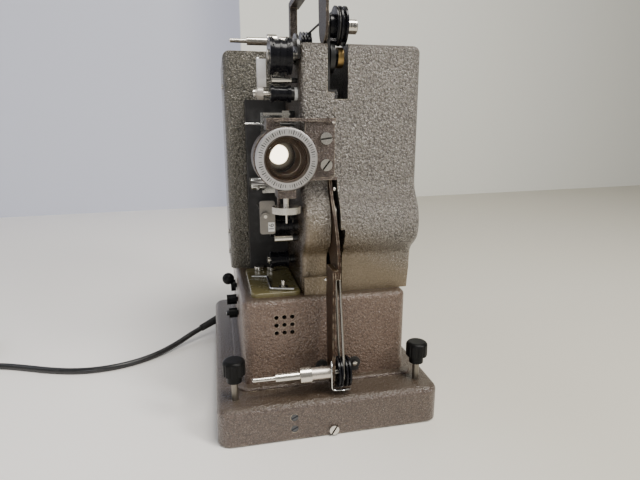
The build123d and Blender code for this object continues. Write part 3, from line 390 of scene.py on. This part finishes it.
def keeper_finish():
    """Polished keeper plate with a painted reflection: bright at the top, darker towards its hinge."""
    mat = metal("keeper_chrome", (0.86, 0.86, 0.87), 0.30)
    tree, shader = reopened(mat)
    low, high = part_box("upper_keeper")
    # Painted reflection: the plate is lightened towards the top and darkened towards the hinge, with little
    # metal sheen left.
    reflection_rise = ramp(tree, object_axes(tree)[2], low.z, high.z)
    feed(tree, shader, {"Base Color": mix(tree, reflection_rise, KEEPER_HINGE_DARK, source(shader, "Base Color")),
                        "Metallic": 0.35})
    return mat


def screw_finish():
    """Nickel screws with painted shade in their slots. The two plugs low on the base are painted over."""
    plug_side_edge = (-0.028, -0.030)
    plug_top_edge = (0.030, 0.028)
    mat = metal("screw_nickel", (0.72, 0.69, 0.64), 0.20)
    tree, shader = reopened(mat)
    # Painted shade: where occlusion finds the slot walls close, the nickel darkens to near black.
    openness = add(tree, "ShaderNodeAmbientOcclusion", {"Distance": 0.0022}, samples=6).outputs["AO"]
    unshaded = ramp(tree, openness, 0.45, 0.80)
    feed(tree, shader, {"Base Color": mix(tree, unshaded, SCREW_SLOT_SHADE, source(shader, "Base Color"))})
    x, _, z = object_axes(tree)
    painted = times(tree, ramp(tree, x, *plug_side_edge), ramp(tree, z, *plug_top_edge))
    paint_over(tree, shader, painted, SCREW_PAINT)
    feed(tree, shader, {"Metallic": minus(tree, 1.0, painted)})
    return mat


lens_low, lens_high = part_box("lens_barrel")
LENS_X = (lens_low.x + lens_high.x) / 2
LENS_Z = (lens_low.z + lens_high.z) / 2


def lens_material():
    """Satin metal barrel: bright front face with turned grooves, ribbed ring, dark brown bore."""
    bore_edge = (0.0187, 0.0184)
    ring_edge = (0.0235, 0.0243)
    ribs_round = 90.0
    groove_radians_per_metre = 36000.0
    mat, tree, shader = new_material("lens_metal")
    place = object_place(tree)
    x, _, z = object_axes(tree, place)
    across = minus(tree, x, LENS_X)
    up = minus(tree, z, LENS_Z)
    radius = from_axis(tree, across, up)
    turn = math_node(tree, "ARCTAN2", up, across)
    bore = ramp(tree, radius, *bore_edge)
    ring = ramp(tree, radius, *ring_edge)
    worn = noise(tree, place, 0.003, 5, 0.7)
    dirt = times(tree, ramp(tree, worn, 0.45, 0.75), 0.3)
    alloy = mix(tree, dirt, (0.53, 0.51, 0.50), (0.26, 0.24, 0.22))
    feed(tree, shader, {"Base Color": mix(tree, bore, alloy, BORE_BROWN),
                        "Metallic": minus(tree, 1.0, bore),
                        "Roughness": spread(tree, worn, 0.26, 0.42)})
    ribs = math_node(tree, "SINE", times(tree, turn, ribs_round))
    grooves = math_node(tree, "SINE", times(tree, radius, groove_radians_per_metre))
    bump(tree, shader, plus(tree, times(tree, ribs, ring), times(tree, grooves, 0.05)), 0.00025, 0.7)
    return mat


def plug_material():
    """Black moulded body with bright pins at its far end."""
    pin_way = (-0.94, -0.34, 0.0)
    pin_length = 0.0189
    tip = max(Vector(pin_way) @ vertex.co for vertex in nodes["plug"].data.vertices)
    mat, tree, shader = new_material("plug_finish")
    place = object_place(tree)
    along = add(tree, "ShaderNodeVectorMath", {0: place, 1: pin_way}, operation="DOT_PRODUCT")
    pins = ramp(tree, along.outputs["Value"], tip - pin_length - 0.0008, tip - pin_length)
    haze = noise(tree, place, 0.004, 5)
    bump(tree, shader, haze, 0.00004)
    feed(tree, shader, {"Base Color": mix(tree, pins, PLUG_BLACK, PLUG_BRASS),
                        "Metallic": pins, "Roughness": spread(tree, haze, 0.25, 0.45)})
    return mat


brown_base = hammertone("hammertone_base", valley=(0.046, 0.028, 0.021), hill=(0.090, 0.059, 0.044),
                        fleck=(0.30, 0.25, 0.20), depth=0.000792, flake=0.15)
brown_plinth = hammertone("hammertone_plinth", valley=(0.070, 0.039, 0.026), hill=(0.134, 0.083, 0.056),
                          fleck=(0.33, 0.26, 0.20), depth=0.000792, flake=0.15)
brown_bracket = hammertone("bracket_enamel", valley=(0.034, 0.020, 0.014), hill=(0.075, 0.050, 0.038),
                           fleck=(0.30, 0.25, 0.21), depth=0.00066)
olive_grey = hammertone("hammertone_olive", valley=(0.042, 0.037, 0.026), hill=(0.110, 0.098, 0.073),
                        fleck=(0.46, 0.43, 0.36))
upper_arm_paint = arm_finish("hammertone_arm", -0.0061, valley=(0.022, 0.016, 0.012),
                             hill=(0.052, 0.042, 0.035))
lower_arm_paint = arm_finish("hammertone_lower_arm", 0.0001, valley=(0.013, 0.006, 0.003),
                             hill=(0.036, 0.018, 0.009))
olive = enamel("olive_enamel", (0.125, 0.105, 0.045), 0.25)
black_enamel = enamel("black_enamel", (0.006, 0.005, 0.005), 0.5, rubbed=(0.10, 0.09, 0.08))
iron = enamel("motor_iron", (0.05, 0.045, 0.042), 0.5)
ceramic = enamel("ceramic", (0.45, 0.42, 0.36), 0.6)
nickel = metal("nickel", (0.60, 0.57, 0.52), 0.18)
chrome = metal("chrome", (0.70, 0.70, 0.69), 0.10, age=0.15)
brass = metal("brass", (0.36, 0.24, 0.09), 0.30)
steel = metal("turned_steel", (0.52, 0.50, 0.46), 0.30, 0.5)
worn_steel = metal("worn_steel", (0.22, 0.20, 0.17), 0.32, 0.5, age=0.6)
dull_plate = metal("dull_plate", (0.24, 0.225, 0.205), 0.45, 0.4, age=0.5)
guide_metal = half_black(metal("guide_metal", (0.66, 0.63, 0.57), 0.20), edge=(-0.0241, -0.0237),
                         colour=(0.010, 0.009, 0.009))
shaft_metal = half_black(metal("shaft_metal", (0.46, 0.44, 0.40), 0.30, 0.5), edge=(0.0050, 0.0055),
                         colour=(0.005, 0.005, 0.005))
black = moulding("black_moulding", (0.006, 0.006, 0.008), 0.24)
knob_black = moulding("black_knob", (0.004, 0.004, 0.004), 0.36, coat=0.0, dust=0.06)
foot_rubber = rubber("foot_rubber", (0.015, 0.015, 0.015), 0.7)
cord_rubber = rubber("cord_rubber", (0.013, 0.013, 0.014), 0.42)
belt_black = coiled_wire("belt_black", (0.030, 0.028, 0.026), metallic=0.3, pitch=0.0011)
belt_steel = coiled_wire("belt_steel", (0.40, 0.38, 0.34), metallic=1.0, pitch=0.0005)
glass = clear_glass("optical_glass", (0.90, 0.86, 0.80), bend=1.12)
bulb_glass = clear_glass("bulb_glass", (0.97, 0.97, 0.95))
white_paint = flat_paint("white_paint", (0.70, 0.70, 0.68))
black_paint = flat_paint("black_paint", (0.010, 0.010, 0.010), 0.35)

finish = {
    housing_finish(): ["nose_housing", "motor_cover"],
    brown_base: ["base_tray"],
    brown_plinth: ["plinth_casing"],
    brown_bracket: ["lens_bracket"],
    olive_grey: ["lamphouse_shell"],
    upper_arm_paint: ["upper_arm"],
    lower_arm_paint: ["lower_arm"],
    olive: ["foot_plate"],
    black_enamel: ["mechanism_frame", "arm_rest_tabs", "upper_arm_bracket"],
    iron: ["motor_stator", "motor_rotor"],
    ceramic: ["lamp_socket", "resistor_unit"],
    screw_finish(): ["screws"],
    nickel: ["lens_clamp_knob", "upper_spindle", "feed_knob", "lower_spindle"],
    chrome: ["lamp_reflector", "gate_plate", "pressure_plate", "gate_lever"],
    steel: ["timing_shaft", "shutter"],
    worn_steel: ["left_levelling_rod", "right_levelling_rod"],
    dull_plate: ["lower_keeper"],
    keeper_finish(): ["upper_keeper"],
    guide_metal: ["film_guides"],
    shaft_metal: ["upper_shaft", "lower_shaft"],
    black: ["upper_spindle_pulley", "feed_pulley", "upper_sprocket", "upper_guide_roller", "lower_sprocket",
            "lower_guide_roller", "exit_roller", "takeup_pulley", "lower_spindle_pulley"],
    knob_black: ["left_levelling_knob", "right_levelling_knob", "speed_lever", "lamp_switch_knob",
                 "motor_switch_knob"],
    foot_rubber: ["rubber_feet", "cord_gland"],
    cord_rubber: ["mains_cord", "cord_coil"],
    belt_black: ["upper_belt", "motor_belt"],
    belt_steel: ["lower_belt"],
    glass: ["lens_glass", "condenser_lens"],
    bulb_glass: ["lamp_bulb"],
    lens_material(): ["lens_barrel"],
    plug_material(): ["plug"],
}
for material, names in finish.items():
    for name in names:
        slots = nodes[name].material_slots
        for slot in slots:
            slot.material = material
        if not slots:
            nodes[name].data.materials.append(material)


# ---- makers of small pieces: their sizes and places are in mm ----
def piece(name, mesh, material, body):
    """Link a mesh as a piece that rides on a CAD body."""
    item = bpy.data.objects.new(name, mesh)
    mesh.materials.append(material)
    bpy.context.scene.collection.objects.link(item)
    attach(item, body)
    return item


def mesh_from(build, name, smooth=True):
    """Run build(bm) on an empty bmesh and return the mesh."""
    bm = bmesh.new()
    build(bm)
    mesh = bpy.data.meshes.new(name)
    bmesh.ops.recalc_face_normals(bm, faces=bm.faces)
    bm.to_mesh(mesh)
    bm.free()
    for polygon in mesh.polygons:
        polygon.use_smooth = smooth
    return mesh


def turned(name, profile, centre, axis, material, body, steps=48):
    """A lathe piece: profile is (distance along axis, radius), from centre."""
    turn = Vector(TO_TOP).rotation_difference(Vector(axis)).to_matrix().to_4x4()
    place = Matrix.Translation(Vector(centre) * MM) @ turn
    is_open = profile[0] != profile[-1]

    def ring(bm, along, radius):
        angles = [2 * pi * i / steps for i in range(steps)]
        return [bm.verts.new(place @ Vector((radius * MM * cos(angle), radius * MM * sin(angle), along * MM)))
                for angle in angles]

    def build(bm):
        rings = [ring(bm, along, radius) for along, radius in profile]
        for below, above in zip(rings, rings[1:]):
            for i in range(steps):
                j = (i + 1) % steps
                bm.faces.new((below[i], below[j], above[j], above[i]))
        if is_open:
            bm.faces.new(rings[0])
            bm.faces.new(rings[-1])

    item = piece(name, mesh_from(build, name), material, body)
    item.modifiers.new("edges", "EDGE_SPLIT").split_angle = radians(35)
    return item


def collar(name, inner, outer, length, centre, axis, material, body, steps=48):
    """A square-edged sleeve round an axis."""
    profile = [(0, inner), (0, outer), (length, outer), (length, inner), (0, inner)]
    return turned(name, profile, centre, axis, material, body, steps)


def tube(name, path, radius, material, roundness=4, smoothness=12):
    """A round NURBS tube along a path. It doesn't ride on a body yet."""
    curve = bpy.data.curves.new(name, "CURVE")
    curve.dimensions = "3D"
    curve.bevel_depth = radius * MM
    curve.bevel_resolution = roundness
    curve.resolution_u = smoothness
    curve.use_fill_caps = True
    spline = curve.splines.new("NURBS")
    spline.points.add(len(path) - 1)
    for target, (x, y, z) in zip(spline.points, path):
        target.co = (x * MM, y * MM, z * MM, 1)
    spline.order_u = 3
    spline.use_endpoint_u = True
    curve.materials.append(material)
    item = bpy.data.objects.new(name, curve)
    bpy.context.scene.collection.objects.link(item)
    return item


def rounded(points, bend):
    """A path through points whose inner corners start and end bend mm from the corner."""
    path = [Vector(points[0])]
    for before, corner, after in zip(points, points[1:], points[2:]):
        here = Vector(corner)
        back = (Vector(before) - here).normalized()
        ahead = (Vector(after) - here).normalized()
        path += [here + back * bend, here, here + ahead * bend]
    return path + [Vector(points[-1])]


def numeral(name, place, turn, size, body):
    """A small raised film gauge numeral, as a mesh."""
    font = bpy.data.curves.new(name, "FONT")
    font.body = "16"
    font.size = size * MM
    font.align_x = "CENTER"
    font.align_y = "CENTER"
    font.extrude = 0.00006
    holder = bpy.data.objects.new(name + "_font", font)
    bpy.context.scene.collection.objects.link(holder)
    bpy.context.view_layer.update()
    mesh = bpy.data.meshes.new_from_object(holder.evaluated_get(bpy.context.evaluated_depsgraph_get()))
    bpy.data.objects.remove(holder)
    mesh.transform(Matrix.Translation(Vector(place) * MM) @ turn.to_4x4())
    mesh.materials.clear()
    return piece(name, mesh, black_paint, body)


# ---- inside and on the lens ----
lens_x = LENS_X / MM
lens_z = LENS_Z / MM
lens_front = lens_low.y / MM
lit_x = lens_x - 2.4
lit_z = lens_z + 2.2
aperture_y = -82.0
rear_ring_y = -70.2


def painted_lamp_glow():
    """A glowing disc painted in for the lamp's light seen through the lens, with a painted halo round it, on
    a dark ground.
    """
    disc_edge = (0.0078, 0.0072)
    halo_edge = (0.0125, 0.0070)
    mat, tree, shader = new_material("painted_lamp_glow")
    x, _, z = object_axes(tree)
    reach = from_axis(tree, minus(tree, x, lit_x * MM), minus(tree, z, lit_z * MM))
    disc = times(tree, ramp(tree, reach, *disc_edge), 6.0)
    halo = times(tree, ramp(tree, reach, *halo_edge), 0.16)
    feed(tree, shader, {"Base Color": (0.030, 0.018, 0.012), "Emission Color": (1.0, 0.90, 0.74),
                        "Emission Strength": plus(tree, disc, halo)})
    return mat


# Painted light: an emitting disc inside the lens stands in for the lamp shining through it.
turned("lit_aperture", [(0, 12.5), (0.4, 12.5), (0.4, 0.02)], (lit_x, aperture_y, lit_z), TO_FRONT,
       painted_lamp_glow(), "lens")
turned("rear_ring", [(0, 12.4), (1.2, 12.4), (1.2, 8.2), (0, 7.9), (0, 12.4)], (lens_x, rear_ring_y, lens_z),
       TO_FRONT, black_paint, "lens")
turned("front_ring", [(0, 18.3), (1.4, 18.5), (1.8, 18.2), (1.8, 17.9), (0, 17.4), (0, 18.3)],
       (lens_x, lens_front + 2.6, lens_z), TO_FRONT, black_paint, "lens")


def tick_marks(bm):
    """Plain graduations round the lens's front face: every third is longer, and four are left out."""
    ticks = 72
    for i in range(ticks):
        if i % (ticks // 4) == 0:
            continue
        inner, outer, half_angle = (20.0, 22.6, 0.011) if i % 3 else (19.8, 23.2, 0.018)
        around = 2 * pi * i / ticks
        corners = []
        for radius, side in ((inner, -1), (outer, -1), (outer, 1), (inner, 1)):
            angle = around + side * half_angle
            corners.append(bm.verts.new((MM * (lens_x + radius * cos(angle)), MM * (lens_front - 0.05),
                                         MM * (lens_z + radius * sin(angle)))))
        bm.faces.new(corners)


piece("lens_graduations", mesh_from(tick_marks, "lens_graduations", False), black_paint, "lens")

# ---- numerals ----
facing_front = Matrix.Rotation(radians(90), 3, "X")
rolled = facing_front @ Matrix.Rotation(radians(90), 3, "Z")
label_x, label_y, label_z = (-43.2, -79.95, 174.6)


def label_plate(bm):
    """A thin upright plate on the front of the lower keeper."""
    size = Matrix.Diagonal((5.6 * MM, 0.3 * MM, 8.2 * MM, 1))
    place = Matrix.Translation(Vector((label_x, label_y, label_z)) * MM)
    bmesh.ops.create_cube(bm, size=1.0, matrix=place @ size)


piece("keeper_label", mesh_from(label_plate, "keeper_label", False), white_paint, "lower_keeper")
numeral("keeper_size", (label_x, label_y - 0.2, label_z), rolled, 6.4, "lower_keeper")
knob_low, knob_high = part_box("feed_knob")
knob_z = (knob_low.z + knob_high.z) / 2
numeral("knob_size", (knob_high.x / MM - 4.2, knob_low.y / MM - 0.12, knob_z / MM), facing_front, 5.4,
        "projector_body")

# ---- small turned pieces, the loop wire and the belt guard ----
film_path_y = -80
guide_roller_z = 287
sprocket_z = 316.5
sleeve_step = -21.6
collar("sleeve_dark", 4, 5.3, 2.6, (sleeve_step - 2.6, film_path_y, guide_roller_z), TO_RIGHT, black_paint,
       "projector_body", 32)
collar("sleeve_light", 4, 5.3, 2.5, (sleeve_step, film_path_y, guide_roller_z), TO_RIGHT, white_paint,
       "projector_body", 32)

loop_corners = [(-59.5, -44, 119), (-45.3, -48.5, 119.4), (-45.6, -85, 119.6), (-25.5, -89.5, 119.4)]
loop_wire = tube("film_loop_wire", rounded(loop_corners, 3), 1.2, chrome)
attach(loop_wire, "projector_body")

stud = [(0, 4), (1, 4.4), (2, 4.4), (2.4, 2), (7, 2), (7.6, 1.4), (7.6, 0.01)]
turned("wire_stud", stud, (-34, -82, 118), TO_TOP, nickel, "projector_body", 32)
rivet = [(0, 2.3), (0.5, 2.3), (0.9, 1.4), (1.0, 0.01)]
for x in (-3, 27.5):
    turned(f"rest_rivet_{x}", rivet, (x, -105.4, 48.5), TO_FRONT, nickel, "projector_body", 24)
turned("switch_dot", [(0, 1.2), (0.25, 1.1), (0.3, 0.01)], (-85.05, -20, 74), TO_LEFT, white_paint,
       "motor_switch", 20)
cover_pin = [(0, 1.6), (1.1, 1.6), (1.6, 1.0), (1.7, 0.01)]
for i, centre in enumerate(((7.9, -99, 264.4), (9.9, -93.6, 208.0), (2.6, -95.2, 128.0))):
    turned(f"cover_pin_{i}", cover_pin, centre, TO_FRONT, nickel, "projector_body", 24)
collar("shaft_collar", 4, 8.3, 4.6, (14.7, film_path_y, sprocket_z), TO_RIGHT, brass, "upper_sprocket_shaft")


def guard_strip(bm):
    """Chrome strip on the take-up arm that passes under the lower pulley."""
    line = [(-0.9, 66), (-0.6, 52), (-0.6, 41.5), (0.2, 39.4), (2.4, 38.3), (8, 37.8), (16.5, 37.6)]
    front, back = -131.0, -127.0
    rows = [[bm.verts.new(Vector((x, y, z)) * MM) for y in (front, back)] for x, z in line]
    for a, b in zip(rows, rows[1:]):
        bm.faces.new((a[0], a[1], b[1], b[0]))


strip = piece("belt_guard", mesh_from(guard_strip, "belt_guard"), chrome, "lower_arm")
strip.modifiers.new("thick", "SOLIDIFY").thickness = 0.0008

# ---- mains lead ----
free_run = [(-117.0, 87.5, 14.3), (-128.2, 79.6, 11.5), (-143, 68, 6.5), (-163, 50, 3.6), (-186, 34, 3.25),
            (-212, 25, 3.25), (-242, 24, 3.25), (-272, 32, 3.25), (-302, 45, 3.25), (-332, 57, 3.25),
            (-364, 62.5, 3.25), (-385, 62, 3.25)]
lead_radius = 3.25


def coil_path():
    """Loose laps of the lead that wander in and out and climb over each other."""
    centre_x, centre_y = -402, 98
    inner_radius, wander, middle_bulge = 32.0, 3.3, 1.2
    laps, steps_in_lap = 6.9, 16
    laps_in_layer, laps_to_climb, climb = 2.6, 2.9, 6.3
    start_angle = -pi / 2 - 0.05
    path = []
    for i in range(int(laps * steps_in_lap) + 1):
        lap = i / steps_in_lap
        angle = start_angle - 2 * pi * lap
        radius = inner_radius + wander * (1 + sin(lap * 2.4 + 0.5))
        if 1 <= lap / laps_in_layer < 2:
            radius += middle_bulge
        height = lead_radius + climb * min(2, lap / laps_to_climb)
        path.append((centre_x + radius * cos(angle), centre_y + radius * sin(angle), height))
    return path


lead = tube("mains_lead", free_run + coil_path(), lead_radius, cord_rubber, roundness=5, smoothness=6)
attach(lead, "projector_body")
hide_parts("mains_cord", "cord_coil")


# ---- floor, backdrop and light ----
def floor_finish():
    """Pale matt paper, warmer and darker to the right."""
    mat, tree, shader = new_material("floor_finish")
    to_right = ramp(tree, object_axes(tree)[0], -0.25, 0.25)
    feed(tree, shader, {"Base Color": mix(tree, to_right, (0.97, 0.94, 0.91), (0.63, 0.60, 0.52)),
                        "Roughness": 0.6})
    return mat


def backdrop_finish():
    """A bluish wall that darkens up to its edge, and a cream one to the right of it."""
    mat, tree, shader = new_material("backdrop_finish")
    x = object_axes(tree)[0]
    blue = mix(tree, ramp(tree, x, -0.22, 0.0), (0.66, 0.68, 0.79), (0.46, 0.48, 0.60))
    feed(tree, shader, {"Base Color": mix(tree, ramp(tree, x, 0.008, 0.013), blue, (0.88, 0.88, 0.83)),
                        "Roughness": 0.9})
    return mat


def sheet(name, corners, material):
    """One flat face, linked to the scene."""
    mesh = mesh_from(lambda bm: bm.faces.new([bm.verts.new(corner) for corner in corners]), name, False)
    mesh.materials.append(material)
    item = bpy.data.objects.new(name, mesh)
    bpy.context.scene.collection.objects.link(item)
    return item


floor = sheet("floor", ((-4, -4, 0), (4, -4, 0), (4, 4, 0), (-4, 4, 0)), floor_finish())
wall = sheet("backdrop", ((-4, 0.75, -0.1), (4, 1.6, -0.1), (4, 1.6, 4), (-4, 0.75, 4)), backdrop_finish())

world = bpy.data.worlds.new("studio")
bpy.context.scene.world = world
world.use_nodes = True
sky = world.node_tree.nodes["Background"]
feed(world.node_tree, sky, {"Color": (0.93, 0.92, 0.88), "Strength": 0.32})


def softbox(name, place, aim, size, power, colour):
    """A rectangular area light at place that points at aim."""
    lamp = bpy.data.lights.new(name, "AREA")
    lamp.shape = "RECTANGLE"
    lamp.size = size[0]
    lamp.size_y = size[1]
    lamp.energy = power
    lamp.color = colour
    holder = bpy.data.objects.new(name, lamp)
    holder.location = place
    holder.rotation_euler = (Vector(aim) - Vector(place)).to_track_quat("-Z", "Y").to_euler()
    bpy.context.scene.collection.objects.link(holder)


softbox("key", (0.3, -0.5, 1.6), (0, 0, 0.1), (0.7, 0.6), 26, (1.0, 0.97, 0.91))
softbox("front", (0.85, -0.9, 0.9), (0, 0, 0.15), (0.3, 0.3), 11, (1.0, 0.98, 0.95))
softbox("left", (-1.4, 0.2, 0.8), (0, 0, 0.2), (0.4, 1.0), 4, (0.92, 0.95, 1.0))
softbox("strip", (-0.7, -1.5, 0.5), (0, 0, 0.2), (0.15, 0.8), 4, (0.95, 0.97, 1.0))
